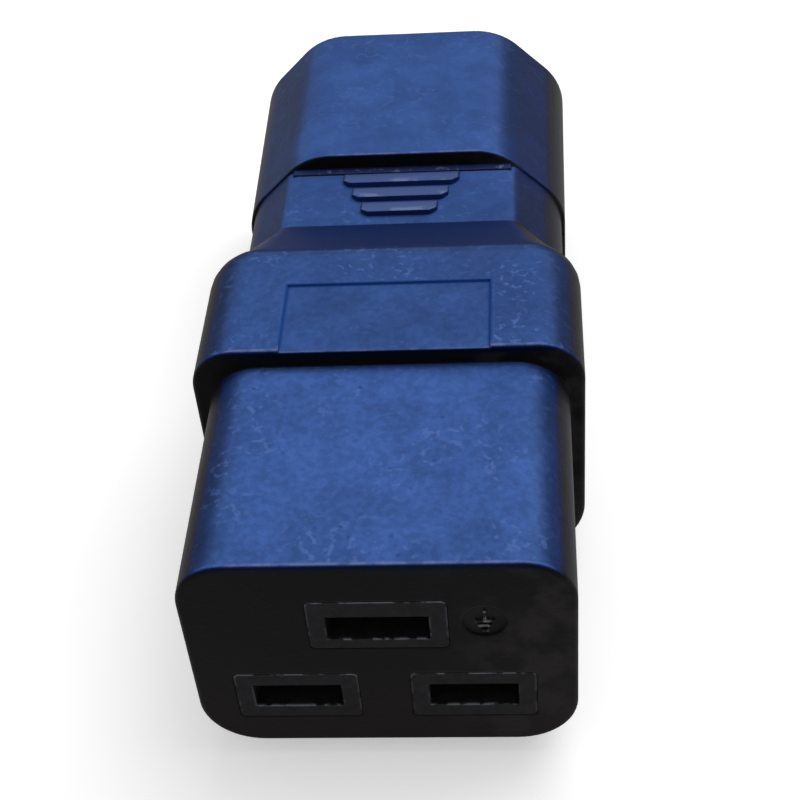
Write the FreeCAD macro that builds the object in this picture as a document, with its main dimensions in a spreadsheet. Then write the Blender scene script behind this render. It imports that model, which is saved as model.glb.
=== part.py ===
import FreeCAD
import Part
import Sketcher
import math
import os

# Moulded in-line power adapter: a three-slot appliance socket at one end and a
# three-pin inlet at the other, joined by three short wires inside one soft moulding.
#
# Every piece is drawn about the adapter's axis: y = 0 is the socket face, +Y runs to
# the rim of the inlet, +Z is the earth side and +X is on the right of someone who
# looks into the socket. Each piece's Placement then stands the adapter on z = 0,
# with the origin under the middle of its length.

SIZES = {
    # socket insert and its slots
    "slot_pitch": 13.0,
    "live_slot_drop": 4.4,
    "earth_slot_rise": 3.3,
    "live_slot_width": 6.55,
    "earth_slot_width": 7.35,
    "slot_height": 2.4,
    "tower_wall": 1.3,
    "tower_corner": 0.4,
    "earth_tower_lift": 0.3,
    "insert_width": 24.2,
    "insert_height": 16.0,
    "insert_corner": 2.2,
    "insert_low_corner": 2.5,
    "insert_front": 3.5,
    "face_wall": 2.0,
    "cap_thickness": 2.0,
    # contacts and their spring clips
    "contact_side_room": 0.35,
    "contact_strip": 0.6,
    "contact_mouth": 2.9,
    "contact_grip": 1.7,
    "contact_spread": 2.5,
    "mouth_length": 1.6,
    "spread_length": 2.0,
    "leaf_length": 9.0,
    "contact_barrel_length": 5.6,
    "barrel_diameter": 3.2,
    "clip_thickness": 0.4,
    "clip_length": 4.0,
    "clip_setback": 1.2,
    "clip_split": 1.0,
    # wires
    "conductor_diameter": 1.6,
    "insulation_diameter": 2.8,
    "wire_bend": 5.0,
    "wire_lead_in": 2.9,
    "wire_lead_out": 3.6,
    "wire_insertion": 3.5,
    # inlet cavity, pins and pin carrier
    "inlet_width": 24.4,
    "inlet_height": 16.4,
    "inlet_chamfer": 4.6,
    "inlet_round": 3.4,
    "inlet_low_round": 1.6,
    "inlet_depth": 16.8,
    "pin_pitch": 14.0,
    "pin_row_drop": 2.0,
    "pin_earth_rise": 2.0,
    "pin_width": 2.0,
    "pin_height": 4.0,
    "pin_setback": 3.6,
    "pin_earth_lead": 1.8,
    "pin_tip_bevel": 0.6,
    "pin_shoulder": 0.5,
    "pin_shoulder_length": 2.8,
    "pin_barrel_length": 4.0,
    "carrier_plate": 1.8,
    "carrier_lip": 0.6,
    "carrier_boss_width": 22.0,
    "carrier_boss_height": 12.4,
    "carrier_boss_corner": 3.0,
    "carrier_boss_length": 6.8,
    # moulding
    "socket_wall": 2.0,
    "socket_length": 20.3,
    "collar_side_step": 1.2,
    "collar_top_step": 1.7,
    "collar_corner": 3.7,
    "collar_low_corner": 5.5,
    "collar_length": 13.3,
    "collar_back_round": 2.4,
    "collar_crest_drop": 0.33,
    "shoulder_length": 6.2,
    "neck_length": 8.1,
    "neck_side_step": 0.35,
    "neck_top_step": 1.65,
    "neck_low_corner": 5.5,
    "neck_chamfer": 4.2,
    "neck_crease_round": 1.6,
    "neck_side_round": 5.5,
    "shroud_wall": 2.25,
    "shroud_flare": 0.3,
    "shroud_length": 20.1,
    "edge_round": 0.35,
    "rim_round": 0.35,
    "shroud_back_round": 0.2,
    "label_width": 16.2,
    "label_length": 8.0,
    "label_depth": 0.2,
    "grip_pitch": 2.15,
    "grip_height": 0.5,
    "grip_first_width": 10.2,
    "grip_width_step": 1.8,
    "grip_first_back": 2.6,
    "grip_bevel": 0.6,
    "lip_width": 19.4,
    "lip_height": 0.15,
    "lip_length": 0.7,
    # earth mark beside the earth slot
    "mark_gap": 1.0,
    "mark_rise": 0.6,
    "mark_diameter": 3.2,
    "mark_depth": 0.15,
    "mark_line": 0.22,
    "mark_stem_length": 1.1,
    "mark_bar_width": 1.4,
    "mark_bar_width_step": 0.45,
    "mark_bar_pitch": 0.5,
    # clearances
    "mould_gap": 0.05,
    "seam_gap": 0.05,
    "slide_gap": 0.15,
    "end_gap": 0.3,
}

GRIP_RIBS = 3
GRIP_ROOT = 0.4
MARK_BARS = 3
MARK_ROOT = 0.4
# Where the sections of the collar's rounded back stand, as degrees of its quarter turn.
COLLAR_BACK_ANGLES = (0, 20, 40, 60, 75, 90)
# The share of that back's length after which its top starts to roll over.
CREST_START = 0.375
OVERCUT = 1.0
# A corner cut by this share of its radius leaves next to no flat between its two arcs.
ROUND_CUT = 0.62
TOUCHING = 1e-4


class Size:
    """A length that keeps its spreadsheet formula beside its present value."""

    def __init__(self, formula, value):
        self.formula = formula
        self.value = value

    def joined(self, sign, other, value):
        return Size(f"({self.formula} {sign} {as_size(other).formula})", value)

    def __add__(self, other):
        return self.joined("+", other, self.value + as_size(other).value)

    def __sub__(self, other):
        return self.joined("-", other, self.value - as_size(other).value)

    def __mul__(self, other):
        return self.joined("*", other, self.value * as_size(other).value)

    def __truediv__(self, other):
        return self.joined("/", other, self.value / as_size(other).value)

    def __neg__(self):
        return Size(f"(0 - {self.formula})", -self.value)


def as_size(thing):
    return thing if isinstance(thing, Size) else Size(f"{float(thing):.6f}", float(thing))


def scaled(size, factor):
    return size * as_size(factor)


doc = FreeCAD.newDocument("power_adapter")
sheet = doc.addObject("Spreadsheet::Sheet", "dims")


class Dims:
    """The driving dimensions, each one a Size bound to its cell."""


dims = Dims()
for row, (size_name, size_value) in enumerate(SIZES.items(), start=1):
    sheet.set(f"A{row}", size_name)
    sheet.set(f"B{row}", str(size_value))
    sheet.setAlias(f"B{row}", size_name)
    setattr(dims, size_name, Size(f"dims.{size_name}", size_value))
doc.recompute()

# ---------------------------------------------------------------- stations along Y
face = as_size(0)
insert_start = dims.face_wall
cell_start = insert_start + dims.insert_front
contact_start = cell_start + dims.end_gap
contact_grip_at = contact_start + dims.mouth_length
leaf_start = contact_grip_at + dims.spread_length
leaf_end = leaf_start + dims.leaf_length
contact_barrel_start = leaf_end + dims.contact_strip
contact_barrel_end = contact_barrel_start + dims.contact_barrel_length
insert_end = contact_barrel_end + dims.slide_gap
cap_end = insert_end + dims.cap_thickness

collar_start = dims.socket_length
collar_end = collar_start + dims.collar_length
shoulder_end = collar_end + dims.shoulder_length
neck_end = shoulder_end + dims.neck_length
rim = neck_end + dims.shroud_length
inlet_floor = rim - dims.inlet_depth
carrier_plate_start = inlet_floor - dims.carrier_plate
carrier_boss_start = carrier_plate_start - dims.carrier_boss_length
pin_blade_start = carrier_boss_start + dims.pin_shoulder_length
pin_barrel_end = carrier_boss_start
pin_barrel_start = pin_barrel_end - dims.pin_barrel_length
bend_in = cap_end + dims.wire_lead_in
bend_out = pin_barrel_start - dims.wire_lead_out

# ---------------------------------------------------------------- outside outline
insert_half = dims.insert_width / 2
insert_top = dims.insert_height / 2
socket_half = insert_half + dims.socket_wall
socket_top = insert_top + dims.socket_wall
collar_half = socket_half + dims.collar_side_step
collar_top = socket_top + dims.collar_top_step
inlet_half = dims.inlet_width / 2
inlet_top = dims.inlet_height / 2
shroud_half = inlet_half + dims.shroud_wall
shroud_top = inlet_top + dims.shroud_wall
neck_half = shroud_half - dims.neck_side_step
neck_top = shroud_top - dims.neck_top_step


# ---------------------------------------------------------------- drawing helpers
def bind(thing, path, size):
    thing.setExpression(path, size.formula)


def new_body(name):
    body = doc.addObject("PartDesign::Body", name)
    body.Label = name
    bind(body, "Placement.Base.y", -(rim / 2))
    bind(body, "Placement.Base.z", collar_top)
    return body


def new_sketch(body, name, plane, offset):
    """A sketch on one of the body's own planes, offset along its normal."""
    sketch = body.newObject("Sketcher::SketchObject", name)
    origin_planes = {feature.Role: feature for feature in body.Origin.OriginFeatures}
    sketch.AttachmentSupport = [(origin_planes[plane], "")]
    sketch.MapMode = "FlatFace"
    # the normal of the XZ plane points along -Y
    bind(sketch, "AttachmentOffset.Base.z", -offset if plane == "XZ_Plane" else offset)
    return sketch


def pin_point(sketch, point, across, up):
    """Hold a sketch point at its distances from the sketch origin."""
    for kind, distance in (("DistanceX", across), ("DistanceY", up)):
        held = sketch.addConstraint(Sketcher.Constraint(kind, -1, 1, *point, distance.value))
        bind(sketch, f"Constraints[{held}]", distance)


def circle(body, name, plane, offset, across, up, diameter):
    sketch = new_sketch(body, name, plane, offset)
    centre = FreeCAD.Vector(across.value, up.value, 0)
    normal = FreeCAD.Vector(0, 0, 1)
    ring = sketch.addGeometry(Part.Circle(centre, normal, diameter.value / 2))
    pin_point(sketch, (ring, 3), across, up)
    held = sketch.addConstraint(Sketcher.Constraint("Diameter", ring, diameter.value))
    bind(sketch, f"Constraints[{held}]", diameter)
    return sketch


def corner_arc(before, corner, after, radius):
    """The arc that rounds a corner: its shape, its two ends, and whether it turns left."""
    inward = (before - corner).normalize()
    onward = (after - corner).normalize()
    half_angle = inward.getAngle(onward) / 2
    reach = radius / math.tan(half_angle)
    bisector = (inward + onward).normalize()
    centre = corner + bisector * (radius / math.sin(half_angle))
    first = corner + inward * reach
    last = corner + onward * reach
    turns_left = (corner - before).cross(after - corner).z > 0
    ends = (first, last) if turns_left else (last, first)
    angles = [math.atan2(end.y - centre.y, end.x - centre.x) for end in ends]
    ring = Part.Circle(centre, FreeCAD.Vector(0, 0, 1), radius)
    return Part.ArcOfCircle(ring, angles[0], angles[1]), first, last, turns_left


def outline(body, name, plane, offset, corners, rounds=None, closed=True):
    """A sketch of straight runs through the corners, with an arc wherever rounds gives one."""
    sketch = new_sketch(body, name, plane, offset)
    count = len(corners)
    rounds = rounds or [None] * count
    places = [FreeCAD.Vector(across.value, up.value, 0) for across, up in corners]
    points = []
    for place, corner in zip(places, corners):
        point = (sketch.addGeometry(Part.Point(place), True), 1)
        pin_point(sketch, point, *corner)
        points.append(point)

    entries, exits, arcs = list(places), list(places), [None] * count
    for index, radius in enumerate(rounds):
        if radius is None:
            continue
        after = places[(index + 1) % count]
        arc, first, last, turns_left = corner_arc(places[index - 1], places[index], after, radius.value)
        ring = sketch.addGeometry(arc)
        held = sketch.addConstraint(Sketcher.Constraint("Radius", ring, radius.value))
        bind(sketch, f"Constraints[{held}]", radius)
        entries[index], exits[index] = first, last
        arcs[index] = (ring, 1, 2) if turns_left else (ring, 2, 1)

    for index in range(count if closed else count - 1):
        end = (index + 1) % count
        run = sketch.addGeometry(Part.LineSegment(exits[index], entries[end]))
        for corner, run_end, side in ((index, 1, 2), (end, 2, 1)):
            if arcs[corner] is None:
                joint = Sketcher.Constraint("Coincident", run, run_end, *points[corner])
                sketch.addConstraint(joint)
                continue
            arc_end = arcs[corner][side]
            sketch.addConstraint(Sketcher.Constraint("PointOnObject", *points[corner], run))
            sketch.addConstraint(Sketcher.Constraint("Tangent", run, run_end, arcs[corner][0], arc_end))
    return sketch


def box_corners(half_width, low, high, middle=as_size(0)):
    return [(middle - half_width, low), (middle + half_width, low),
            (middle + half_width, high), (middle - half_width, high)]


def rounded_box(body, name, offset, half_width, half_height, top_round, low_round):
    corners = box_corners(half_width, -half_height, half_height)
    rounds = [low_round, low_round, top_round, top_round]
    return outline(body, name, "XZ_Plane", offset, corners, rounds)


def crowned_box(body, name, offset, half, top, cut, low_round, side_round, crest_round):
    """A six-sided outline: a box about the axis with its two top corners cut at 45 degrees."""
    corners = [(-half, -top), (half, -top), (half, top - cut),
               (half - cut, top), (cut - half, top), (-half, top - cut)]
    rounds = [low_round, low_round, side_round, crest_round, crest_round, side_round]
    return outline(body, name, "XZ_Plane", offset, corners, rounds)


def inlet_outline(body, name, offset, growth):
    """The inlet's outline, grown outwards by the given amount all round."""
    # a corner cut at 45 degrees grows by this share of the wall
    cut = dims.inlet_chamfer + scaled(growth, 2 - math.sqrt(2))
    high, low = dims.inlet_round + growth, dims.inlet_low_round + growth
    return crowned_box(body, name, offset, inlet_half + growth, inlet_top + growth, cut, low, high, high)


def collar_outline(body, name, offset, half, top):
    """The collar's outline, at the width and height that it has at this station."""
    high = dims.collar_corner
    return crowned_box(body, name, offset, half, top, scaled(high, ROUND_CUT),
                       dims.collar_low_corner, high, high)


def neck_outline(body, name, offset):
    return crowned_box(body, name, offset, neck_half, neck_top, dims.neck_chamfer,
                       dims.neck_low_corner, dims.neck_side_round, dims.neck_crease_round)


def pad(body, sketch, length, both_ways=False):
    """Raise a sketch: towards +Y from the XZ plane, or evenly to both sides."""
    feature = body.newObject("PartDesign::Pad", f"{sketch.Label}_pad")
    feature.Profile = sketch
    feature.SideType = "Symmetric" if both_ways else "One side"
    feature.Reversed = not both_ways
    bind(feature, "Length", length)


def pocket(body, sketch, length, upwards=False):
    """Cut a sketch away towards +Y from the XZ plane, or upwards from the XY plane."""
    feature = body.newObject("PartDesign::Pocket", f"{sketch.Label}_pocket")
    feature.Profile = sketch
    feature.Reversed = upwards
    bind(feature, "Length", length)


def loft(body, sketches):
    feature = body.newObject("PartDesign::AdditiveLoft", f"{sketches[0].Label}_loft")
    feature.Profile = sketches[0]
    feature.Sections = sketches[1:]
    feature.Ruled = True


def pipe(body, kind, profile, route):
    feature = body.newObject(f"PartDesign::{kind}", f"{profile.Label}_pipe")
    feature.Profile = profile
    feature.Spine = (route, [f"Edge{number}" for number in range(1, len(route.Shape.Edges) + 1)])


def dress_edges(body, kind, name, size_path, size, wanted):
    """Fillet or chamfer the edges whose middle point and direction are wanted."""
    doc.recompute()
    base = body.Tip
    names = []
    for number, edge in enumerate(base.Shape.Edges, start=1):
        ends = [vertex.Point for vertex in edge.Vertexes]
        if wanted(edge, edge.valueAt((edge.FirstParameter + edge.LastParameter) / 2), ends):
            names.append(f"Edge{number}")
    if not names:
        raise RuntimeError(f"{name} finds no edge")
    feature = body.newObject(f"PartDesign::{kind}", name)
    feature.Base = (base, names)
    bind(feature, size_path, size)
    doc.recompute()


def fillet(body, name, radius, wanted):
    dress_edges(body, "Fillet", name, "Radius", radius, wanted)


def near(value, size):
    return abs(value - size.value) < TOUCHING


# ---------------------------------------------------------------- the three poles
class Pole:
    """One line through the adapter: its slot, its pin and the wire that joins them."""

    def __init__(self, name, side, slot_z, slot_width, tower_lift, pin_z, pin_lead):
        self.name = name
        self.slot_x = scaled(dims.slot_pitch / 2, side)
        self.slot_z = slot_z
        self.slot_width = slot_width
        self.tower_z = slot_z + tower_lift
        self.wire_x = scaled(dims.pin_pitch / 2, side)
        self.pin_z = pin_z
        self.pin_tip = rim - dims.pin_setback + pin_lead
        self.contact_half = slot_width / 2 - dims.contact_side_room


poles = [
    Pole("line", 1, -dims.live_slot_drop, dims.live_slot_width, as_size(0),
         -dims.pin_row_drop, as_size(0)),
    Pole("neutral", -1, -dims.live_slot_drop, dims.live_slot_width, as_size(0),
         -dims.pin_row_drop, as_size(0)),
    Pole("earth", 0, dims.earth_slot_rise, dims.earth_slot_width, dims.earth_tower_lift,
         dims.pin_earth_rise, dims.pin_earth_lead),
]
contact_half_height = dims.contact_spread / 2 + dims.contact_strip
clip_reach = dims.slide_gap + dims.clip_thickness
cell_half_height = contact_half_height + clip_reach + dims.slide_gap


def around(middle, half_height):
    return middle - half_height, middle + half_height


def pole_box(body, name, offset, pole, half_width, half_height):
    """A plain rectangle about a pole's slot."""
    corners = box_corners(half_width, *around(pole.slot_z, half_height), pole.slot_x)
    return outline(body, name, "XZ_Plane", offset, corners)


def pin_box(body, name, offset, pole, growth):
    """A plain rectangle about a pole's pin."""
    low, high = around(pole.pin_z, dims.pin_height / 2 + growth)
    corners = box_corners(dims.pin_width / 2 + growth, low, high, pole.wire_x)
    return outline(body, name, "XZ_Plane", offset, corners)


def tower_box(body, name, offset, pole, growth):
    """The rounded frame round a pole's slot, grown outwards by the given amount."""
    wall = dims.tower_wall + growth
    low, high = around(pole.tower_z, dims.slot_height / 2 + wall)
    corners = box_corners(pole.slot_width / 2 + wall, low, high, pole.slot_x)
    return outline(body, name, "XZ_Plane", offset, corners, [dims.tower_corner + growth] * len(corners))


def wire_route(body, name, pole, start, end):
    """A wire's line: straight, a gentle double bend to the pin's height, and straight."""
    corners = [(start, pole.slot_z), (bend_in, pole.slot_z), (bend_out, pole.pin_z), (end, pole.pin_z)]
    rounds = [None, dims.wire_bend, dims.wire_bend, None]
    route = outline(body, name, "YZ_Plane", pole.wire_x, corners, rounds, closed=False)
    doc.recompute()
    return route


def wire_pipe(body, kind, name, pole, start, end, diameter):
    route = wire_route(body, f"{name}_route", pole, start, end)
    profile = circle(body, name, "XZ_Plane", start, pole.wire_x, pole.slot_z, diameter)
    pipe(body, kind, profile, route)


# ---------------------------------------------------------------- moulding
def make_outer_form(body):
    """The outside of the moulding, from the socket face to the inlet's rim."""
    socket = rounded_box(body, "socket_form", face, socket_half, socket_top,
                         dims.insert_corner + dims.socket_wall, dims.insert_low_corner + dims.socket_wall)
    pad(body, socket, collar_start)

    straight_end = collar_end - dims.collar_back_round
    collar = collar_outline(body, "collar_form", collar_start, collar_half, collar_top)
    pad(body, collar, straight_end - collar_start)

    # the collar's sides round in to the width of the neck, over a quarter of an ellipse,
    # and its top rolls over into the slope of the shoulder
    side_drop = collar_half - neck_half
    sections = []
    for number, degrees in enumerate(COLLAR_BACK_ANGLES):
        reach = math.sin(math.radians(degrees))
        rolled = max(0, reach - CREST_START) / (1 - CREST_START)
        along = straight_end + scaled(dims.collar_back_round, reach)
        half = collar_half - scaled(side_drop, 1 - math.cos(math.radians(degrees)))
        top = collar_top - scaled(dims.collar_crest_drop, rolled ** 2)
        sections.append(collar_outline(body, f"collar_back_{number}", along, half, top))
    loft(body, sections)

    shoulder = [
        collar_outline(body, "shoulder_foot", collar_end, neck_half, collar_top - dims.collar_crest_drop),
        neck_outline(body, "shoulder_head", shoulder_end),
    ]
    loft(body, shoulder)
    pad(body, neck_outline(body, "neck_form", shoulder_end), dims.neck_length)

    shroud = [
        inlet_outline(body, "shroud_back", neck_end, dims.shroud_wall),
        inlet_outline(body, "shroud_rim", rim, dims.shroud_wall + dims.shroud_flare),
    ]
    loft(body, shroud)


def make_grip(body):
    """Ribs on the neck, each one high at its front wall and sloping down to the next."""
    root = neck_top - GRIP_ROOT
    for number in range(GRIP_RIBS):
        front = neck_end - dims.grip_first_back - scaled(dims.grip_pitch, number)
        back = front + dims.grip_pitch
        corners = [(front, root), (back, root), (back, neck_top), (front, neck_top + dims.grip_height)]
        width = dims.grip_first_width - scaled(dims.grip_width_step, number)
        rib = outline(body, f"grip_{number}", "YZ_Plane", face, corners)
        pad(body, rib, width, both_ways=True)

        def is_front_end(edge, middle, ends, front=front, width=width):
            upright = abs(ends[0].z - ends[-1].z) > dims.grip_height.value / 2
            return upright and near(abs(middle.x), width / 2) and near(middle.y, front)

        dress_edges(body, "Chamfer", f"grip_{number}_ends", "Size", dims.grip_bevel, is_front_end)

    start, high = neck_end - dims.lip_length, neck_top + dims.lip_height
    corners = [(start, root), (neck_end, root), (neck_end, high), (start, high)]
    lip = outline(body, "grip_lip", "YZ_Plane", face, corners)
    pad(body, lip, dims.lip_width, both_ways=True)


def soften_outer_edges(body):
    """Round the moulding's outside edges before the cavities are cut."""
    def ring_at(station, half, top):
        def wanted(edge, middle, ends):
            at_side = near(abs(middle.x), half) and abs(middle.z) < top.value
            at_top = near(abs(middle.z), top) and abs(middle.x) < half.value
            return near(middle.y, station) and (at_side or at_top)
        return wanted

    fillet(body, "socket_edge", dims.edge_round, ring_at(face, socket_half, socket_top))
    fillet(body, "collar_edge", dims.edge_round, ring_at(collar_start, collar_half, collar_top))
    fillet(body, "shroud_back_edge", dims.shroud_back_round, ring_at(neck_end, shroud_half, shroud_top))
    fillet(body, "shroud_rim_edge", dims.rim_round,
           ring_at(rim, shroud_half + dims.shroud_flare, shroud_top + dims.shroud_flare))


def cut_label_panel(body):
    """A shallow panel on top of the collar, open at the collar's front."""
    start, end = collar_start - OVERCUT, collar_start + dims.label_length
    half = dims.label_width / 2
    corners = [(-half, start), (half, start), (half, end), (-half, end)]
    panel = outline(body, "label_panel", "XY_Plane", collar_top - dims.label_depth, corners)
    pocket(body, panel, dims.label_depth + OVERCUT, upwards=True)


def cut_earth_mark(body):
    """A sunk round beside the earth slot, in which a stem and three bars stand up to the face."""
    earth = poles[-1]
    tower_half = earth.slot_width / 2 + dims.tower_wall
    across = tower_half + dims.mark_gap + dims.mark_diameter / 2
    middle = earth.slot_z + dims.mark_rise
    hollow = circle(body, "mark_hollow", "XZ_Plane", face - OVERCUT, across, middle, dims.mark_diameter)
    pocket(body, hollow, dims.mark_depth + OVERCUT)

    half_line = dims.mark_line / 2
    strokes = [(half_line, middle, middle + dims.mark_stem_length)]
    for number in range(MARK_BARS):
        width = dims.mark_bar_width - scaled(dims.mark_bar_width_step, number)
        level = middle - scaled(dims.mark_bar_pitch, number)
        strokes.append((width / 2, level - half_line, level + half_line))
    for number, (half, low, high) in enumerate(strokes):
        corners = box_corners(half, low, high, across)
        stroke = outline(body, f"mark_stroke_{number}", "XZ_Plane", face, corners)
        pad(body, stroke, dims.mark_depth + MARK_ROOT)


def cut_insert_seat(body):
    for pole in poles:
        window = tower_box(body, f"{pole.name}_window", face - OVERCUT, pole, dims.seam_gap)
        pocket(body, window, insert_start + OVERCUT)
    seat = rounded_box(body, "insert_seat", insert_start, insert_half + dims.mould_gap,
                       insert_top + dims.mould_gap, dims.insert_corner + dims.mould_gap,
                       dims.insert_low_corner + dims.mould_gap)
    pocket(body, seat, cap_end + dims.mould_gap - insert_start)


def cut_wire_ways(body):
    """Tunnels for the insulated wires, and wells for the barrels of the pins."""
    for pole in poles:
        wire_pipe(body, "SubtractivePipe", f"{pole.name}_way", pole, cap_end, pin_barrel_start,
                  dims.insulation_diameter + scaled(dims.mould_gap, 2))
        well = circle(body, f"{pole.name}_well", "XZ_Plane", pin_barrel_start - dims.mould_gap,
                      pole.wire_x, pole.pin_z, dims.barrel_diameter + scaled(dims.mould_gap, 2))
        pocket(body, well, dims.pin_barrel_length + scaled(dims.mould_gap, 2))


def cut_inlet(body):
    """The seat of the pin carrier and the open cavity in front of it."""
    gap = dims.mould_gap
    boss = rounded_box(body, "boss_seat", carrier_boss_start - gap, dims.carrier_boss_width / 2 + gap,
                       dims.carrier_boss_height / 2 + gap, dims.carrier_boss_corner + gap,
                       dims.carrier_boss_corner + gap)
    pocket(body, boss, dims.carrier_boss_length + gap)
    plate = inlet_outline(body, "plate_seat", carrier_plate_start - gap, dims.carrier_lip + gap)
    pocket(body, plate, dims.carrier_plate + scaled(gap, 2))
    cavity = inlet_outline(body, "inlet_cavity", inlet_floor, as_size(0))
    pocket(body, cavity, dims.inlet_depth + OVERCUT)


def make_outer_body():
    body = new_body("outer_body")
    make_outer_form(body)
    soften_outer_edges(body)
    make_grip(body)
    cut_label_panel(body)
    cut_earth_mark(body)
    cut_insert_seat(body)
    cut_wire_ways(body)
    cut_inlet(body)
    return body


# ---------------------------------------------------------------- socket insert
def make_socket_insert():
    """The stiff block behind the socket face, with a tower and a cell for each contact."""
    body = new_body("socket_insert")
    block = rounded_box(body, "block", insert_start, insert_half, insert_top,
                        dims.insert_corner, dims.insert_low_corner)
    pad(body, block, insert_end - insert_start)
    for pole in poles:
        tower = tower_box(body, f"{pole.name}_tower", face, pole, as_size(0))
        pad(body, tower, insert_start)
    for pole in poles:
        slot = pole_box(body, f"{pole.name}_slot", face - OVERCUT, pole, pole.slot_width / 2,
                        dims.slot_height / 2)
        pocket(body, slot, cell_start + 2 * OVERCUT)
        cell_half = pole.contact_half + clip_reach + dims.slide_gap
        cell = pole_box(body, f"{pole.name}_cell", cell_start, pole, cell_half, cell_half_height)
        pocket(body, cell, insert_end - cell_start + OVERCUT)
    return body


def make_insert_cap():
    """The plate that closes the cells, with a hole for each wire."""
    body = new_body("insert_cap")
    plate = rounded_box(body, "plate", insert_end, insert_half, insert_top,
                        dims.insert_corner, dims.insert_low_corner)
    pad(body, plate, dims.cap_thickness)
    for pole in poles:
        hole = circle(body, f"{pole.name}_hole", "XZ_Plane", insert_end - OVERCUT, pole.wire_x,
                      pole.slot_z, dims.insulation_diameter + scaled(dims.mould_gap, 2))
        pocket(body, hole, dims.cap_thickness + 2 * OVERCUT)
    return body


# ---------------------------------------------------------------- contacts and clips
def make_contact(pole):
    """A strip folded into two sprung leaves, with a crimp barrel on its base."""
    body = new_body(f"{pole.name}_contact")
    strip = dims.contact_strip
    inner = [(contact_start, dims.contact_mouth / 2), (contact_grip_at, dims.contact_grip / 2),
             (leaf_start, dims.contact_spread / 2), (leaf_end, dims.contact_spread / 2)]
    outer = [(contact_start, dims.contact_mouth / 2 + strip),
             (contact_grip_at, dims.contact_grip / 2 + strip),
             (leaf_start, contact_half_height), (leaf_end + strip, contact_half_height)]
    upper = [(along, pole.slot_z + height) for along, height in outer]
    lower = [(along, pole.slot_z - height) for along, height in reversed(outer)]
    inside_low = [(along, pole.slot_z - height) for along, height in inner]
    inside_high = [(along, pole.slot_z + height) for along, height in reversed(inner)]
    leaves = outline(body, "leaves", "YZ_Plane", pole.slot_x, upper + lower + inside_low + inside_high)
    pad(body, leaves, scaled(pole.contact_half, 2), both_ways=True)
    barrel = circle(body, "barrel", "XZ_Plane", contact_barrel_start, pole.wire_x, pole.slot_z,
                    dims.barrel_diameter)
    pad(body, barrel, dims.contact_barrel_length)
    bore = circle(body, "bore", "XZ_Plane", contact_barrel_end - dims.wire_insertion - dims.end_gap,
                  pole.wire_x, pole.slot_z, dims.conductor_diameter + scaled(dims.mould_gap, 2))
    pocket(body, bore, dims.wire_insertion + dims.end_gap + OVERCUT)
    return body


def make_spring_clip(pole):
    """A split steel ring that squeezes the leaves of a contact together."""
    body = new_body(f"{pole.name}_spring_clip")
    start = leaf_start + dims.clip_setback
    in_half, in_top = pole.contact_half + dims.slide_gap, contact_half_height + dims.slide_gap
    out_half, out_top = in_half + dims.clip_thickness, in_top + dims.clip_thickness
    split = dims.clip_split / 2
    right = [(split, -out_top), (out_half, -out_top), (out_half, out_top)]
    left = [(-out_half, out_top), (-out_half, -out_top), (-split, -out_top)]
    inside_left = [(-split, -in_top), (-in_half, -in_top), (-in_half, in_top)]
    inside_right = [(in_half, in_top), (in_half, -in_top), (split, -in_top)]
    corners = [(pole.slot_x + across, pole.slot_z + up)
               for across, up in right + left + inside_left + inside_right]
    ring = outline(body, "ring", "XZ_Plane", start, corners)
    pad(body, ring, dims.clip_length)
    return body


# ---------------------------------------------------------------- wires
def make_conductor(pole):
    body = new_body(f"{pole.name}_conductor")
    start = contact_barrel_end - dims.wire_insertion
    end = pin_barrel_start + dims.wire_insertion
    wire_pipe(body, "AdditivePipe", "strand", pole, start, end, dims.conductor_diameter)
    return body


def make_insulation(pole):
    body = new_body(f"{pole.name}_insulation")
    start, end = contact_barrel_end + dims.mould_gap, pin_barrel_start - dims.mould_gap
    wire_pipe(body, "AdditivePipe", "sleeve", pole, start, end, dims.insulation_diameter)
    bore = dims.conductor_diameter + scaled(dims.mould_gap, 2)
    wire_pipe(body, "SubtractivePipe", "sleeve_bore", pole, start, end, bore)
    return body


# ---------------------------------------------------------------- pins and their carrier
def make_pin(pole):
    """A flat blade with a bevelled tip, a shoulder and a crimp barrel."""
    body = new_body(f"{pole.name}_pin")
    barrel = circle(body, "barrel", "XZ_Plane", pin_barrel_start, pole.wire_x, pole.pin_z,
                    dims.barrel_diameter)
    pad(body, barrel, dims.pin_barrel_length)
    shoulder = pin_box(body, "shoulder", carrier_boss_start, pole, dims.pin_shoulder)
    pad(body, shoulder, dims.pin_shoulder_length)
    blade = pin_box(body, "blade", pin_blade_start, pole, as_size(0))
    pad(body, blade, pole.pin_tip - pin_blade_start)
    dress_edges(body, "Chamfer", "tip", "Size", dims.pin_tip_bevel,
                lambda edge, middle, ends: near(middle.y, pole.pin_tip))
    bore = circle(body, "bore", "XZ_Plane", pin_barrel_start - OVERCUT, pole.wire_x, pole.pin_z,
                  dims.conductor_diameter + scaled(dims.mould_gap, 2))
    pocket(body, bore, dims.wire_insertion + dims.mould_gap + OVERCUT)
    return body


def make_pin_carrier():
    """The floor of the inlet, with a boss behind it that holds the pins' shoulders."""
    body = new_body("pin_carrier")
    boss = rounded_box(body, "boss", carrier_boss_start, dims.carrier_boss_width / 2,
                       dims.carrier_boss_height / 2, dims.carrier_boss_corner, dims.carrier_boss_corner)
    pad(body, boss, dims.carrier_boss_length)
    plate = inlet_outline(body, "plate", carrier_plate_start, dims.carrier_lip)
    pad(body, plate, dims.carrier_plate)
    for pole in poles:
        slot = pin_box(body, f"{pole.name}_slot", carrier_boss_start - OVERCUT, pole, dims.mould_gap)
        pocket(body, slot, inlet_floor - carrier_boss_start + 2 * OVERCUT)
        seat = pin_box(body, f"{pole.name}_seat", carrier_boss_start - OVERCUT, pole,
                       dims.pin_shoulder + dims.mould_gap)
        pocket(body, seat, dims.pin_shoulder_length + OVERCUT)
    return body


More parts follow.
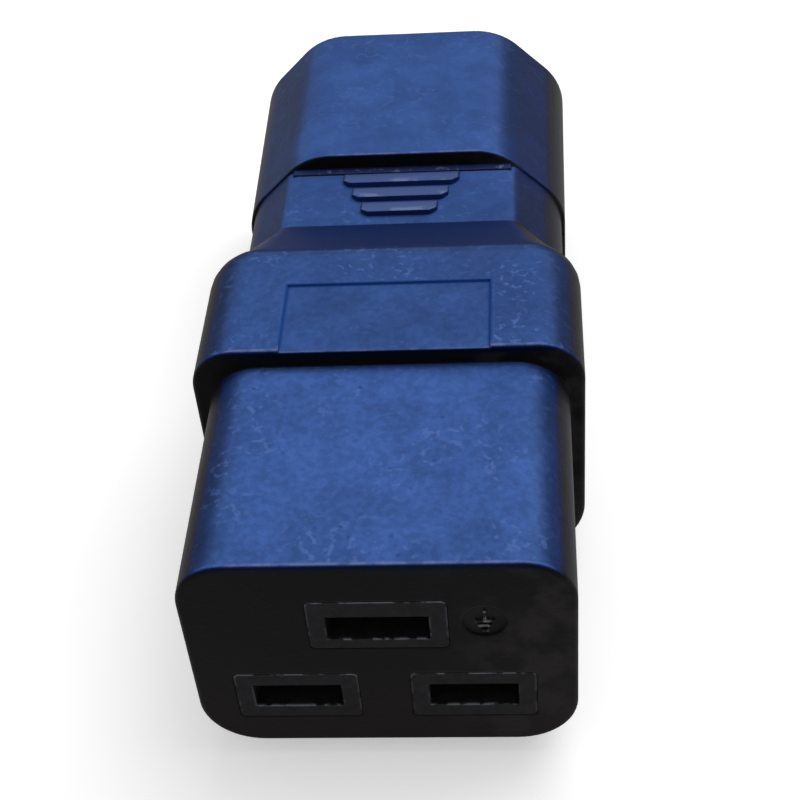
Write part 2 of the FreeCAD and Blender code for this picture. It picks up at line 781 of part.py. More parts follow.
# ---------------------------------------------------------------- build, test and write
parts = [make_outer_body(), make_socket_insert(), make_insert_cap(), make_pin_carrier()]
for pole in poles:
    parts += [make_contact(pole), make_spring_clip(pole), make_pin(pole),
              make_conductor(pole), make_insulation(pole)]
doc.recompute()

for thing in doc.Objects:
    if {"Invalid", "Error"} & set(thing.State):
        raise RuntimeError(f"{thing.Label} failed: {thing.State}")
    if thing.TypeId in ("PartDesign::Pocket", "PartDesign::SubtractivePipe"):
        if not thing.Shape.Volume < thing.BaseFeature.Shape.Volume:
            raise RuntimeError(f"{thing.Label} cuts nothing")
for part in parts:
    if part.Shape.isNull() or not part.Shape.isValid() or len(part.Shape.Solids) != 1:
        raise RuntimeError(f"{part.Label} is not one valid solid")

os.makedirs("parts", exist_ok=True)
for part in parts:
    part.Shape.exportStep(f"parts/{part.Label}.step")
    print(f"{part.Label}: {part.Shape.Volume / 1000:.3f} cm3")
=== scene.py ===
"""Finishes, light and camera for a moulded C14 to C19 in-line power adapter."""

import math
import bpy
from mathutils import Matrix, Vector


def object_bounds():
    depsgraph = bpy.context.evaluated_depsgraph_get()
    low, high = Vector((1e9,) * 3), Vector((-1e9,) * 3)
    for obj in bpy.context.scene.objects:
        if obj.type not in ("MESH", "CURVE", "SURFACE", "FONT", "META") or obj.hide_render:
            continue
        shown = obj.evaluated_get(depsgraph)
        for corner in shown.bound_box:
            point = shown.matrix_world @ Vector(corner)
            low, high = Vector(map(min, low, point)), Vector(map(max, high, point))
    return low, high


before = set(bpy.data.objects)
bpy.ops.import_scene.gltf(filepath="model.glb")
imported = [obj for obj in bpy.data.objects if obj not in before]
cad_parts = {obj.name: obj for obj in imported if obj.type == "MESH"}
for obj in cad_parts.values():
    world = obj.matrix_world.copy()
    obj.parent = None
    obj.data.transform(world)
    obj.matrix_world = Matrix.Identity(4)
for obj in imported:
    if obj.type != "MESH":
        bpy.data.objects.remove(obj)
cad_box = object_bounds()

from types import SimpleNamespace

import bpy
from mathutils import Quaternion, Vector

MM = 0.001

# Places along the adapter, in millimetres from the socket's face.
COLLAR_START = 20.3
PANEL_END = 28.3
SHOULDER_START = 33.6
NECK_START = 39.8
LIP_START = 47.2
SHROUD_START = 47.9
LENGTH = (cad_box[1].y - cad_box[0].y) / MM

# Heights in millimetres above the surface it lies on.
COLLAR_TOP = cad_box[1].z / MM
SOCKET_TOP = COLLAR_TOP - 1.7
MID_HEIGHT = COLLAR_TOP / 2
NECK_TOP = MID_HEIGHT + 8.8
GRIP_HEIGHT = 0.5

# Half the width of the sunk panel on the collar, in millimetres.
PANEL_SIDE = 8.1

# The earth mark sunk in the socket's face: its middle in metres, and in millimetres the
# reach of its round and of the thin lines in it.
MARK_MIDDLE = Vector((7.575 * MM, cad_box[0].y, 15.6 * MM))
MARK_REACH = 1.9
MARK_LINES_REACH = 1.35

# Boxes round some features: spans in millimetres across from the middle, along from the
# socket's face, and up.
SOCKET_FACE = {"station": (-0.05, 0.05)}
PANEL = {"across": (-PANEL_SIDE, PANEL_SIDE), "station": (COLLAR_START, PANEL_END)}
PANEL_WALLS = {
    "station": (COLLAR_START + 0.6, SHOULDER_START),
    "height": (COLLAR_TOP - 0.25, COLLAR_TOP + 0.1),
}
GRIP = {"station": (NECK_START, LIP_START - 0.1), "height": (NECK_TOP + 0.03, NECK_TOP + 1)}
LIP = {"station": (LIP_START - 0.1, SHROUD_START), "height": (NECK_TOP + 0.02, NECK_TOP + 0.4)}
INLET_CAVITY = {"station": (SHROUD_START + 1, LENGTH)}
PARTING_LINE = {"height": (MID_HEIGHT - 0.05, MID_HEIGHT + 0.05)}
EARTH_STRIPE = {"across": (-0.5, 0.5)}

# Places of the colour sockets on Blender's Mix node, whose names repeat for each data type.
MIX_A, MIX_B, MIX_RESULT = 6, 7, 2

# Rays that the occlusion and rounding nodes send from each point.
PROBES = 6


def along(station_mm):
    """The frame's y, in metres, of a place measured in millimetres from the socket's face."""
    return cad_box[0].y + station_mm * MM


def srgb(hex_colour):
    """An sRGB hex colour as the linear RGBA that Blender's sockets take."""
    channels = [int(hex_colour[i : i + 2], 16) / 255 for i in (1, 3, 5)]
    linear = [c / 12.92 if c <= 0.04045 else ((c + 0.055) / 1.055) ** 2.4 for c in channels]
    return (*linear, 1.0)


def per_metre(size_mm):
    """The texture scale whose features are size_mm across on Object coordinates."""
    return 1 / (size_mm * MM)


def add_node(tree, kind, inputs=(), stops=(), **settings):
    """Adds a shader node with its settings, ramp stops and socket inputs.

    An input is another node's output, a value or an sRGB hex colour.
    """
    node = tree.nodes.new("ShaderNode" + kind)
    for name, value in settings.items():
        setattr(node, name, value)
    for place, (position, colour) in enumerate(stops):
        if place == len(node.color_ramp.elements):
            node.color_ramp.elements.new(position)
        node.color_ramp.elements[place].position = position
        node.color_ramp.elements[place].color = srgb(colour)
    for key, value in dict(inputs).items():
        if isinstance(value, bpy.types.NodeSocket):
            tree.links.new(value, node.inputs[key])
        elif isinstance(value, str):
            node.inputs[key].default_value = srgb(value)
        else:
            node.inputs[key].default_value = value
    return node


def new_finish(name):
    """An empty node material and its tree."""
    material = bpy.data.materials.new(name)
    material.use_nodes = True
    material.node_tree.nodes.clear()
    return material, material.node_tree


def close_finish(tree, inputs):
    """Joins the finish's Principled shader to the material's output."""
    shader = add_node(tree, "BsdfPrincipled", inputs)
    add_node(tree, "OutputMaterial", {"Surface": shader.outputs["BSDF"]})


# ---------------------------------------------------------------- camera, floor and light

# The camera's angles in degrees, its distance and target, and its lens in millimetres.
CAMERA_AZIMUTH, CAMERA_ELEVATION, CAMERA_ROLL = (math.radians(a) for a in (6.45, 42.79, -5.66))
CAMERA_DISTANCE = 143.36 * MM
CAMERA_TARGET = Vector((-0.215, -4.0, 8.971)) * MM
CAMERA_LENS = 74.9

# The floor's side in metres, its paint, and the glow that lifts it to white.
FLOOR_SIDE = 3.0
FLOOR_COLOUR = "#f2f2f2"
FLOOR_LIFT = 0.42

# The key light's way in, its side and distance in metres, and the room's share of the light.
KEY_DIRECTION = Vector((0.35, 0.35, 1.0)).normalized()
KEY_SIDE = 0.5
KEY_DISTANCE = 0.6
KEY_WATTS = 2.0
AMBIENT = 0.5


def add_camera():
    """Looks down on the socket's face from a little to the right, held slightly askew."""
    back = Vector(
        (
            math.sin(CAMERA_AZIMUTH) * math.cos(CAMERA_ELEVATION),
            -math.cos(CAMERA_AZIMUTH) * math.cos(CAMERA_ELEVATION),
            math.sin(CAMERA_ELEVATION),
        )
    )
    camera = bpy.data.objects.new("camera", bpy.data.cameras.new("camera"))
    camera.data.lens = CAMERA_LENS
    camera.data.clip_start = CAMERA_DISTANCE / 100
    camera.location = CAMERA_TARGET + back * CAMERA_DISTANCE
    camera.rotation_mode = "QUATERNION"
    roll = Quaternion((0, 0, 1), CAMERA_ROLL)
    camera.rotation_quaternion = (-back).to_track_quat("-Z", "Y") @ roll
    bpy.context.scene.collection.objects.link(camera)
    bpy.context.scene.camera = camera


def seen_directly(tree):
    """1 for rays from the camera, a mirror or glass, and 0 for rays that carry light."""
    rays = add_node(tree, "LightPath").outputs
    seen = rays["Is Camera Ray"]
    for other in (rays["Is Glossy Ray"], rays["Is Transmission Ray"]):
        seen = add_node(tree, "Math", {0: seen, 1: other}, operation="MAXIMUM").outputs[0]
    return seen


def add_floor():
    """A pale floor that shows white where it is lit and keeps the adapter's shadow."""
    bpy.ops.object.select_all(action="DESELECT")
    bpy.ops.mesh.primitive_plane_add(size=FLOOR_SIDE, location=(0, 0, cad_box[0].z))
    floor = bpy.context.object
    floor.name = "floor"
    # Matt emulsion paint, rolled on: flat and even, with a lift that keeps it white.
    material, tree = new_finish("painted_floor")
    paint = add_node(tree, "BsdfDiffuse", {"Color": FLOOR_COLOUR})
    lift = add_node(tree, "Math", {0: seen_directly(tree), 1: FLOOR_LIFT}, operation="MULTIPLY")
    glow = add_node(tree, "Emission", {"Strength": lift.outputs[0]})
    both = add_node(tree, "AddShader", {0: paint.outputs[0], 1: glow.outputs[0]})
    add_node(tree, "OutputMaterial", {"Surface": both.outputs[0]})
    floor.data.materials.append(material)


def add_light():
    """One broad soft key from above and behind, in a plain white room."""
    world = bpy.data.worlds.new("studio")
    bpy.context.scene.world = world
    world.use_nodes = True
    tree = world.node_tree
    tree.nodes.clear()
    white_if_seen = {"Value": seen_directly(tree), "To Min": AMBIENT, "To Max": 1.0}
    strength = add_node(tree, "MapRange", white_if_seen)
    room = add_node(tree, "Background", {"Strength": strength.outputs[0]})
    add_node(tree, "OutputWorld", {"Surface": room.outputs[0]})

    key = bpy.data.objects.new("key_light", bpy.data.lights.new("key_light", "AREA"))
    key.data.size = KEY_SIDE
    key.data.energy = KEY_WATTS
    key.location = KEY_DIRECTION * KEY_DISTANCE
    key.rotation_mode = "QUATERNION"
    key.rotation_quaternion = (-KEY_DIRECTION).to_track_quat("-Z", "Y")
    bpy.context.scene.collection.objects.link(key)


# ---------------------------------------------------------------- masks and patterns


def combined(tree, *parts):
    """The masks or factors multiplied together.

    A part is a mask, or a value with the two marks between which it fades in from 0 to 1.
    """
    result = None
    for part in parts:
        if isinstance(part, tuple):
            value, none, full = part
            fade = {"Value": value, "From Min": none, "From Max": full}
            step = add_node(tree, "MapRange", fade, interpolation_type="SMOOTHSTEP")
            part = step.outputs[0]
        if result is not None:
            both = add_node(tree, "Math", {0: result, 1: part}, operation="MULTIPLY")
            part = both.outputs[0]
        result = part
    return result


def painted(tree, colour, *coats):
    """The colour under its coats, each a mask and a colour, laid on in their order."""
    for mask, coat in coats:
        mix = add_node(tree, "Mix", {0: mask, MIX_A: colour, MIX_B: coat}, data_type="RGBA")
        colour = mix.outputs[MIX_RESULT]
    return colour


def inside(tree, place, **spans):
    """1 inside the box with these spans in millimetres (across, station, height), else 0."""
    separated = add_node(tree, "SeparateXYZ", {0: place}).outputs
    axes = dict(zip(("across", "station", "height"), separated))
    walls = []
    for name, (low, high) in spans.items():
        start = along(0) if name == "station" else 0.0
        middle = start + (low + high) / 2 * MM
        near = {0: axes[name], 1: middle, 2: (high - low) / 2 * MM}
        walls.append(add_node(tree, "Math", near, operation="COMPARE").outputs[0])
    return combined(tree, *walls)


def patches(tree, place, size_mm, none, full, detail=2.0):
    """Soft patches of about size_mm: 0 where the noise is under none, and 1 over full."""
    inputs = {"Vector": place, "Scale": per_metre(size_mm), "Detail": detail}
    noise = add_node(tree, "TexNoise", inputs).outputs[0]
    return combined(tree, (noise, none, full))


def clouded(tree, place, size_mm, none, full, detail, least, most):
    """A factor that drifts from least to most in soft patches."""
    drift = {"Value": patches(tree, place, size_mm, none, full, detail)}
    return add_node(tree, "MapRange", {**drift, "To Min": least, "To Max": most}).outputs[0]


def scuffs(tree, place, size_mm, width):
    """Short curved strokes, as handling leaves: pieces of a smooth noise's contour lines."""
    inputs = {"Vector": place, "Scale": per_metre(size_mm), "Detail": 0.0}
    noise = add_node(tree, "TexNoise", inputs).outputs[0]
    off_contour = add_node(tree, "Math", {0: noise, 1: 0.5}, operation="SUBTRACT").outputs[0]
    apart = add_node(tree, "Math", {0: off_contour}, operation="ABSOLUTE").outputs[0]
    pieces = patches(tree, place, size_mm / 2, 0.5, 0.62)
    return combined(tree, (apart, width, width / 3), pieces)


def specks(tree, place, size_mm):
    """Round pits and crumbs: the mask of the pale ones and the mask of the dark ones.

    Each cell's random tint chooses whether it holds a pale one, a dark one or none.
    """
    cells = add_node(tree, "TexVoronoi", {"Vector": place, "Scale": per_metre(size_mm)}).outputs
    pale = add_node(tree, "Math", {0: cells["Color"], 1: 0.62}, operation="GREATER_THAN")
    dark = add_node(tree, "Math", {0: cells["Color"], 1: 0.34}, operation="LESS_THAN")
    dot = combined(tree, (cells["Distance"], 0.28, 0.1))
    return [combined(tree, dot, chance.outputs[0]) for chance in (pale, dark)]


def worn_and_lit_edges(tree, width_mm, openness):
    """1 along outer edges that turn up to the light, over about width_mm, and 0 elsewhere. It
    places edge wear together with a painted highlight.
    """
    rounded = add_node(tree, "Bevel", {"Radius": width_mm * MM}, samples=PROBES).outputs[0]
    flat = add_node(tree, "NewGeometry").outputs["Normal"]
    alike, upward = (
        add_node(tree, "VectorMath", {0: rounded, 1: other}, operation="DOT_PRODUCT")
        for other in (flat, (0, 0, 1))
    )
    return combined(
        tree,
        (alike.outputs["Value"], 0.995, 0.86),
        (upward.outputs["Value"], -0.25, 0.45),
        (openness, 0.55, 0.85),
    )


# ---------------------------------------------------------------- the black moulding

# Directions that a surface may face. The painted blue sheen follows how squarely it faces up and
# slightly to the socket's end. That leans a little to the right on the socket and collar,
# and to the left behind them.
FACINGS = {
    "upward": (0.05, -0.5, 0.863),
    "far_upward": (-0.065, -0.53, 0.917),
    "forward": (0, -1, 0),
    "backward": (0, 1, 0),
    "right": (1, 0, 0),
}

# How squarely a surface faces up before the painted sheen starts, on the near and the far half,
# and where it is full.
SHEEN_STARTS = (0.52, 0.46)
SHEEN_FULL = 0.86
# The painted sheen's colours, from the near black sides to its full blue.
SHEEN_COLOURS = (
    (0.0, "#18171d"),
    (0.25, "#181d3a"),
    (0.4, "#162a59"),
    (0.6, "#1e3462"),
    (0.725, "#284072"),
    (0.825, "#364f88"),
    (0.9, "#3d5c99"),
    (1.0, "#3f61a6"),
)

# The painted sheen's strength along the adapter: most on the socket block and least on the neck.
SHEEN_STRENGTH = (
    (0.0, "#f6f6f6"),
    (COLLAR_START / LENGTH - 0.01, "#ffffff"),
    (COLLAR_START / LENGTH, "#e0e0e0"),
    (NECK_START / LENGTH, "#d8d8d8"),
    (SHROUD_START / LENGTH, "#f0f0f0"),
    (1.0, "#e2e2e2"),
)

# Soft patches: size in millimetres, the noise's two marks and its detail, and for clouds
# the two factors between which they drift. The fine clouds are handling and fade to the
# far end.
FINE_CLOUDS = ((0.22, 0.3, 0.7, 2.0, 0.95, 1.05), (0.6, 0.38, 0.62, 0.0, 0.935, 1.065))
WIDE_CLOUDS = ((2.0, 0.35, 0.65, 2.0, 0.93, 1.07), (6.0, 0.35, 0.65, 1.0, 0.92, 1.1))
SCUFFED_AREAS = (5.0, 0.42, 0.6, 1.0, 0.2, 0.8)
HIGHLIGHT_AND_WEAR_AREAS = (1.2, 0.38, 0.6, 3.0, 0.3, 0.9)
RIB_WEAR_AND_HIGHLIGHT = (2.2, 0.48, 0.58, 3.0)
LIP_CRUMBS = (0.6, 0.56, 0.68, 4.0)
GREY_PATCHES = (3.0, 0.42, 0.62, 4.0)
MARK_GLINTS = (0.5, 0.48, 0.56)

# The mould's spark-eroded grain is about 0.05 mm. It is drawn as coarse as it needs to show.
MOULD_GRAIN = (0.22, 0.2, 0.8, 3.0)

# What handling is at the far end, and what marks are in the sunk panel, against 1 elsewhere.
FAR_HANDLING = 0.3
PANEL_SHELTER = 0.25

# Lengths in millimetres. Where there are two, a mask fades in from the first to the second.
SCUFF_SIZE = 1.3
SPECK_SIZE = 0.9
ROUNDING = 0.3
OPEN_REACH = 25
CREASE_REACH = 0.6
GREYED_SIDE = (2, 11)
BROWNED_HEIGHTS = (MID_HEIGHT + 8, 0)
FRONT_SKIN_STATIONS = (0.9, 0.3)
FRONT_SKIN_HEIGHTS = (SOCKET_TOP - 0.6, SOCKET_TOP - 2.2)
BLUE_UNDER_EDGE = (-0.9, -0.45)
RIB_SLOPE = (NECK_TOP + 0.45 * GRIP_HEIGHT, NECK_TOP + 0.9 * GRIP_HEIGHT)
PANEL_WALL_SHADE = (0.22, 0.08)

# The strokes' half width, as a part of the noise's height.
SCUFF_WIDTH = 0.1


def metres(value, marks_mm):
    """A length in metres with the two marks, given in millimetres, between which it fades in."""
    none, full = marks_mm
    return value, none * MM, full * MM


def read_skin(tree):
    """What the moulding's finish goes by: where a point is, how open, and how it is turned."""
    skin = SimpleNamespace()
    skin.place = add_node(tree, "TexCoord").outputs["Object"]
    axes = add_node(tree, "SeparateXYZ", {0: skin.place}).outputs
    skin.across, skin.lengthwise, skin.height = axes
    skin.openness, skin.crease = (
        add_node(tree, "AmbientOcclusion", {"Distance": reach * MM}, samples=PROBES).outputs["AO"]
        for reach in (OPEN_REACH, CREASE_REACH)
    )
    skin.normal = add_node(tree, "Bevel", {"Radius": ROUNDING * MM}, samples=PROBES).outputs[0]
    for name, direction in FACINGS.items():
        turned = {0: skin.normal, 1: direction}
        square = add_node(tree, "VectorMath", turned, operation="DOT_PRODUCT").outputs["Value"]
        setattr(skin, name, square)
    skin.sideways = add_node(tree, "Math", {0: skin.right}, operation="ABSOLUTE").outputs[0]
    mark = {0: skin.place, 1: MARK_MIDDLE}
    skin.from_mark = add_node(tree, "VectorMath", mark, operation="DISTANCE").outputs["Value"]
    return skin


def bloomed(tree, skin):
    """Near black on its sides, and on what faces up a clouded blue: a painted sheen, the
    reflection of blue light from above.
    """
    far_half = combined(tree, (skin.lengthwise, along(SHOULDER_START), along(SHOULDER_START + 1)))
    lean, start = (
        add_node(tree, "MapRange", {"Value": far_half, "To Min": near, "To Max": far}).outputs[0]
        for near, far in ((skin.upward, skin.far_upward), SHEEN_STARTS)
    )
    reach = {"Value": lean, "From Min": start, "From Max": SHEEN_FULL}
    skin.bloom = add_node(tree, "MapRange", reach).outputs[0]
    blue = add_node(tree, "ValToRGB", {"Fac": skin.bloom}, stops=SHEEN_COLOURS).outputs["Color"]

    length = {"Value": skin.lengthwise, "From Min": along(0), "From Max": along(LENGTH)}
    station = add_node(tree, "MapRange", length).outputs[0]
    strength = add_node(tree, "ValToRGB", {"Fac": station}, stops=SHEEN_STRENGTH)

    wear = {
        "Value": skin.lengthwise,
        "From Min": along(COLLAR_START),
        "From Max": along(SHROUD_START),
        "To Min": 1.0,
        "To Max": FAR_HANDLING,
    }
    skin.handled = add_node(tree, "MapRange", wear).outputs[0]
    mottle = combined(tree, *(clouded(tree, skin.place, *cloud) for cloud in FINE_CLOUDS))
    faded = add_node(tree, "MapRange", {"Value": skin.handled, "To Min": 1.0, "To Max": mottle})
    clouds = [clouded(tree, skin.place, *cloud) for cloud in WIDE_CLOUDS]
    tone = combined(tree, strength.outputs["Color"], faded.outputs[0], *clouds)
    return add_node(tree, "VectorMath", {0: blue, "Scale": tone}, operation="SCALE").outputs[0]


def scuffed(tree, skin, colour):
    """Pale strokes and crumbs and a few dark nicks, most of them on the socket and collar."""
    skin.strokes = scuffs(tree, skin.place, SCUFF_SIZE, SCUFF_WIDTH)
    pale, dark = specks(tree, skin.place, SPECK_SIZE)
    often = clouded(tree, skin.place, *SCUFFED_AREAS)
    panel = {"Value": inside(tree, skin.place, **PANEL), "To Min": 1.0, "To Max": PANEL_SHELTER}
    sheltered = add_node(tree, "MapRange", panel).outputs[0]
    # The scuffs are wear; they show only where the painted sheen lies, in its blue.
    marked = combined(tree, skin.bloom, skin.bloom, skin.handled, often, sheltered)
    tints = ((skin.strokes, "#5473b8"), (pale, "#4e6eb3"), (dark, "#304c8c"))
    return painted(tree, colour, *((combined(tree, mask, marked), tint) for mask, tint in tints))


def rubbed_and_painted_light(tree, skin, colour):
    """Painted light and wear: a deeper slope, highlights on crests and worn edges, the grip's
    sheen and wear, and painted shade on the lip and in the creases.
    """
    # The slope behind the collar faces away from the light and is a deeper blue.
    sloping = combined(tree, (skin.backward, 0.1, 0.4), (skin.bloom, 0.1, 0.3))

    # The crest of each front rounding has a painted highlight in pale lilac, and the outer edges
    # the same lilac: wear with a painted highlight.
    crest_highlight = combined(tree, (skin.upward, 0.93, 0.985))
    edges = combined(tree, worn_and_lit_edges(tree, ROUNDING, skin.openness), (skin.upward, 0.6, 0.8))
    highlight_and_wear = add_node(tree, "Math", {0: crest_highlight, 1: edges}, operation="MAXIMUM").outputs[0]
    edge_wear_and_highlight = combined(tree, highlight_and_wear, clouded(tree, skin.place, *HIGHLIGHT_AND_WEAR_AREAS))

    # The grip's ribs have a lighter painted sheen where they face up, and their raised front
    # edges are paler still: wear with a painted highlight.
    skin.grip = inside(tree, skin.place, **GRIP)
    ribs = combined(tree, skin.grip, (skin.upward, 0.6, 0.75))
    raised = metres(skin.height, RIB_SLOPE)
    fretted_and_lit = combined(tree, ribs, raised, patches(tree, skin.place, *RIB_WEAR_AND_HIGHLIGHT))

    # The lip under the shroud's edge is painted a darker navy, the shade of the shroud's edge
    # over it, with a few crumbs of flash along it.
    lip = inside(tree, skin.place, **LIP)
    crumbs = combined(tree, lip, patches(tree, skin.place, *LIP_CRUMBS))

    # Painted shade darkens the creases where the painted sheen lies.
    crease_shade = combined(tree, (skin.crease, 0.8, 0.5), (skin.bloom, 0.3, 0.9))
    return painted(
        tree,
        colour,
        (sloping, "#0a1f4d"),
        (edge_wear_and_highlight, "#7484bd"),
        (ribs, "#4d6093"),
        (fretted_and_lit, "#6f7fa9"),
        (lip, "#2c3763"),
        (crumbs, "#66708f"),
        (crease_shade, "#1c3873"),
    )


def black_facing_along(tree, skin):
    """The black of what faces along the adapter: browner low down and greyed at the right.

    Close under the edges of the socket's top and the collar's top it is still a dark blue:
    the painted sheen, fading over the edge.
    """
    low = combined(tree, metres(skin.height, BROWNED_HEIGHTS))
    grey_patches = patches(tree, skin.place, *GREY_PATCHES)
    greyed = combined(tree, grey_patches, metres(skin.across, GREYED_SIDE))
    on_socket = combined(tree, (skin.lengthwise, along(COLLAR_START - 1), along(1)))
    tops = {"Value": on_socket, "To Min": COLLAR_TOP * MM, "To Max": SOCKET_TOP * MM}
    top = add_node(tree, "MapRange", tops).outputs[0]
    above = add_node(tree, "Math", {0: skin.height, 1: top}, operation="SUBTRACT").outputs[0]
    under_edge = combined(tree, metres(above, BLUE_UNDER_EDGE))
    return painted(
        tree, "#0f0f11", (low, "#1b1717"), (greyed, "#252223"), (under_edge, "#050c1c")
    )


def blackened(tree, skin, colour):
    """The end faces, the sunk mark, the inlet's cavity and deep places are near black."""
    black = black_facing_along(tree, skin)

    # A rounding's painted sheen turns from blue through navy to black, and sooner where it is
    # also a corner.
    cornered = {0: skin.sideways, 1: 0.6, 2: skin.forward}
    turned = add_node(tree, "Math", cornered, operation="MULTIPLY_ADD").outputs[0]
    turning = combined(tree, (turned, 0.6, 0.75), (skin.bloom, 0.2, 0.5))
    end_on = combined(tree, (turned, 0.8, 0.96))
    front_skin = combined(
        tree,
        (skin.lengthwise, *(along(station) for station in FRONT_SKIN_STATIONS)),
        metres(skin.height, FRONT_SKIN_HEIGHTS),
    )
    mark = combined(tree, metres(skin.from_mark, (1.1 * MARK_REACH, MARK_REACH)))

    # A wall of the cavity faces in, to the adapter's axis.
    axis = {0: skin.place, 1: (0, 0, MID_HEIGHT * MM)}
    from_axis = add_node(tree, "VectorMath", axis, operation="SUBTRACT").outputs[0]
    outward = {0: skin.normal, 1: from_axis}
    out = add_node(tree, "VectorMath", outward, operation="DOT_PRODUCT").outputs["Value"]
    cavity = combined(tree, metres(out, (0, -2)), inside(tree, skin.place, **INLET_CAVITY))

    deep = combined(tree, (skin.openness, 0.5, 0.25))
    return painted(
        tree,
        colour,
        (turning, "#12265f"),
        (end_on, black),
        (front_skin, black),
        (mark, black),
        (cavity, black),
        (deep, black),
        # The ribs' front walls get a painted dark navy sheen instead of black.
        (combined(tree, skin.grip, end_on), "#102d66"),
    )


def detailed(tree, skin, colour):
    """Painted shade along the panel's walls, painted glints on the mark's lines, and the mould's
    parting line.
    """
    # A soft dark blue line of painted shade runs along the sunk panel's walls.
    off_middle = add_node(tree, "Math", {0: skin.across}, operation="ABSOLUTE").outputs[0]
    off_side, off_end = (
        add_node(tree, "Math", {0: value, 1: wall}, operation="SUBTRACT").outputs[0]
        for value, wall in ((off_middle, PANEL_SIDE * MM), (skin.lengthwise, along(PANEL_END)))
    )
    off_wall = add_node(tree, "Math", {0: off_side, 1: off_end}, operation="MAXIMUM").outputs[0]
    from_wall = add_node(tree, "Math", {0: off_wall}, operation="ABSOLUTE").outputs[0]
    walls = inside(tree, skin.place, **PANEL_WALLS)
    panel_wall_shade = combined(tree, metres(from_wall, PANEL_WALL_SHADE), walls)

    # The mark's thin lines carry pale painted glints in places.
    mark_glints = combined(
        tree,
        metres(skin.from_mark, (MARK_LINES_REACH + 0.1, MARK_LINES_REACH)),
        inside(tree, skin.place, **SOCKET_FACE),
        patches(tree, skin.place, *MARK_GLINTS),
    )

    # The mould's halves part at mid-height and leave a fine raised line along both sides.
    skin.parting = combined(
        tree,
        inside(tree, skin.place, **PARTING_LINE),
        (skin.sideways, 0.8, 0.95),
        (skin.openness, 0.4, 0.6),
    )
    coats = ((panel_wall_shade, "#214a92"), (mark_glints, "#6a686b"), (skin.parting, "#38373c"))
    return painted(tree, colour, *coats)


def satin_black_pvc():
    """Soft PVC, injection moulded over the core: near black, with a painted blue sheen on what
    faces up.

    The spark-eroded mould leaves a fine grain, and handling leaves short pale scuffs,
    a few dark nicks, rubbed outer edges and a rubbed grip. The edges and grip also carry
    painted highlights, and painted shade lies in the creases and on the lip.
    """
    material, tree = new_finish("satin_black_pvc_moulding")
    skin = read_skin(tree)
    colour = bloomed(tree, skin)
    for stage in (scuffed, rubbed_and_painted_light, blackened, detailed):
        colour = stage(tree, skin, colour)

    marks = add_node(tree, "Math", {0: skin.strokes, 1: skin.parting}, operation="ADD").outputs[0]
    grain = patches(tree, skin.place, *MOULD_GRAIN)
    heights = add_node(tree, "Math", {0: grain, 1: marks}, operation="ADD").outputs[0]
    bump = {"Strength": 0.4, "Distance": 0.02 * MM, "Height": heights, "Normal": skin.normal}
    relief = add_node(tree, "Bump", bump)

    # The grain scatters nearly all of what smooth PVC would mirror.
    close_finish(
        tree,
        {
            "Base Color": colour,
            "Roughness": 0.5,
            "IOR": 1.53,
            "Specular IOR Level": 0.035,
            "Normal": relief.outputs[0],
        },
    )
    return material


# ---------------------------------------------------------------- the other finishes

# Patches, as for the black moulding. The real grain and lines are 0.01 to 0.05 mm wide and
# are drawn as coarse as they need to show.
STIFF_GRAIN = (0.2, 0.2, 0.8)
STIFF_CLOUDS = (0.7, 0.35, 0.65, 4.0)
STIFF_EDGE_WEAR_AND_HIGHLIGHT = (0.8, 0.44, 0.56, 3.0)
ROLLING_LINES = (0.12, 0.2, 0.8, 3.0)
TARNISH = (1.8, 0.35, 0.65, 5.0)
DRAW_LINES = (0.2, 0.3, 0.7)

# How the lines' noise is drawn out along the strip and along the sleeve.
ROLLED = (1.0, 0.04, 1.0)
DRAWN = (1.0, 0.05, 1.0)

# Lengths in millimetres, and how much rougher a tarnished patch is.
STIFF_EDGE = 0.35
STIFF_REACH = 2
TARNISH_ROUGHNESS = 0.12


def stiff_black_moulding(name, dark, light, edge):
    """Glass-filled nylon or PBT, injection moulded: a dry, slightly greyer black than the PVC.

    Its sharp edges that turn up to the light are paler in patches: wear with a painted highlight.
    """
    material, tree = new_finish(name)
    place = add_node(tree, "TexCoord").outputs["Object"]
    reach = {"Distance": STIFF_REACH * MM}
    openness = add_node(tree, "AmbientOcclusion", reach, samples=PROBES).outputs["AO"]
    cloud = patches(tree, place, *STIFF_CLOUDS)
    wear_and_highlight_patches = patches(tree, place, *STIFF_EDGE_WEAR_AND_HIGHLIGHT)
    lit_worn_edges = combined(tree, worn_and_lit_edges(tree, STIFF_EDGE, openness), wear_and_highlight_patches)
    grain = patches(tree, place, *STIFF_GRAIN)
    relief = add_node(tree, "Bump", {"Strength": 0.3, "Distance": 0.02 * MM, "Height": grain})
    close_finish(
        tree,
        {
            "Base Color": painted(tree, dark, (cloud, light), (lit_worn_edges, edge)),
            "Roughness": 0.6,
            "IOR": 1.57,
            "Specular IOR Level": 0.06,
            "Normal": relief.outputs[0],
        },
    )
    return material


def worked_metal(name, dull, bright, roughness, streaks):
    """Strip or wire, rolled or drawn: fine lines run along it and dull patches cross it."""
    material, tree = new_finish(name)
    place = add_node(tree, "TexCoord").outputs["Object"]
    stretched = add_node(tree, "Mapping", {"Vector": place, "Scale": ROLLED})
    lines = patches(tree, stretched.outputs[0], *ROLLING_LINES)
    tarnish = patches(tree, place, *TARNISH)
    smoother = {"Value": tarnish, "To Min": roughness + TARNISH_ROUGHNESS, "To Max": roughness}
    relief = add_node(tree, "Bump", {"Strength": streaks, "Distance": 0.01 * MM, "Height": lines})
    close_finish(
        tree,
        {
            "Base Color": painted(tree, dull, (tarnish, bright)),
            "Metallic": 1.0,
            "Roughness": add_node(tree, "MapRange", smoother).outputs[0],
            "Normal": relief.outputs[0],
        },
    )
    return material


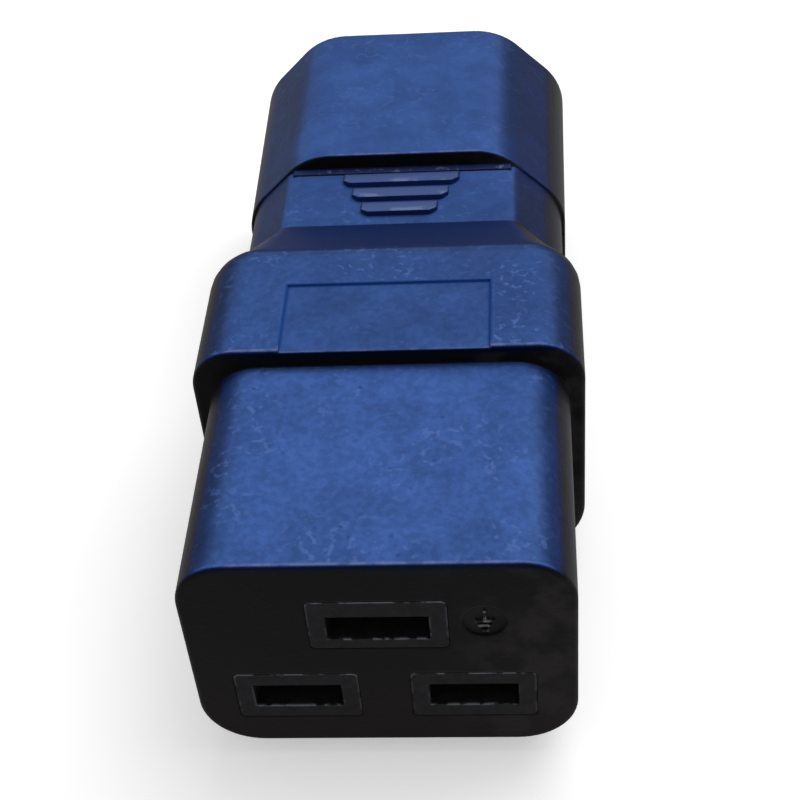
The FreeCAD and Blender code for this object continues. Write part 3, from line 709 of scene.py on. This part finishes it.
def extruded_pvc(name, shade, tint, stripe=None):
    """PVC sleeve, extruded over the wire: smooth and satin, with faint draw lines along it."""
    material, tree = new_finish(name)
    place = add_node(tree, "TexCoord").outputs["Object"]
    stretched = add_node(tree, "Mapping", {"Vector": place, "Scale": DRAWN})
    lines = patches(tree, stretched.outputs[0], *DRAW_LINES)
    colour = painted(tree, shade, (lines, tint))
    if stripe:
        colour = painted(tree, colour, (inside(tree, place, **EARTH_STRIPE), stripe))
    relief = add_node(tree, "Bump", {"Strength": 0.3, "Distance": 0.01 * MM, "Height": lines})
    close_finish(
        tree,
        {
            "Base Color": colour,
            "Roughness": 0.42,
            "IOR": 1.53,
            "Normal": relief.outputs[0],
        },
    )
    return material


def assign_finishes():
    """Gives each piece the finish of its slot in the record."""
    finishes = {
        # The soft outer moulding.
        "black_pvc": satin_black_pvc(),
        # The socket's insert and its cap: nylon, whose tower edges are worn grey with a painted
        # highlight.
        "black_nylon": stiff_black_moulding("nylon_moulding", "#151517", "#1d1c1f", "#787a84"),
        # The inlet's floor: PBT, hardly worn, with a faint painted highlight on its edges.
        "black_pbt": stiff_black_moulding("pbt_moulding", "#151516", "#1c1b1c", "#363538"),
        # The inlet's blades: brass, nickel plated, bright and a little warm.
        "nickel_plate": worked_metal(
            "nickel_plated_brass", "#a89f90", "#c9c2b6", roughness=0.24, streaks=0.25
        ),
        # The contacts behind the slots: brass strip, tinned, a duller yellow.
        "tinned_brass": worked_metal(
            "tinned_brass_strip", "#8d7c55", "#bfae86", roughness=0.36, streaks=0.4
        ),
        # The clips round the contacts: spring steel, rolled blank, a cool grey.
        "spring_steel": worked_metal(
            "blank_spring_steel", "#6f7073", "#a5a6aa", roughness=0.32, streaks=0.4
        ),
        # The wires: copper, drawn and bare, a warm red-brown.
        "copper": worked_metal(
            "bare_copper_wire", "#8a4a2c", "#c9784d", roughness=0.34, streaks=0.5
        ),
        # Their sleeves, in the colours of the three conductors.
        "brown_pvc": extruded_pvc("brown_pvc_sleeve", "#4a2c1c", "#5a3724"),
        "blue_pvc": extruded_pvc("blue_pvc_sleeve", "#1f4d94", "#295aa6"),
        "green_yellow_pvc": extruded_pvc("earth_pvc_sleeve", "#2c6f2b", "#38813a", "#c9b72f"),
    }
    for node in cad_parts.values():
        for holder in node.material_slots:
            holder.material = finishes[holder.material.name]


def set_view():
    """Plain colour handling, so that a hex colour is shown as written."""
    bpy.context.scene.view_settings.view_transform = "Standard"


add_camera()
add_floor()
add_light()
assign_finishes()
set_view()
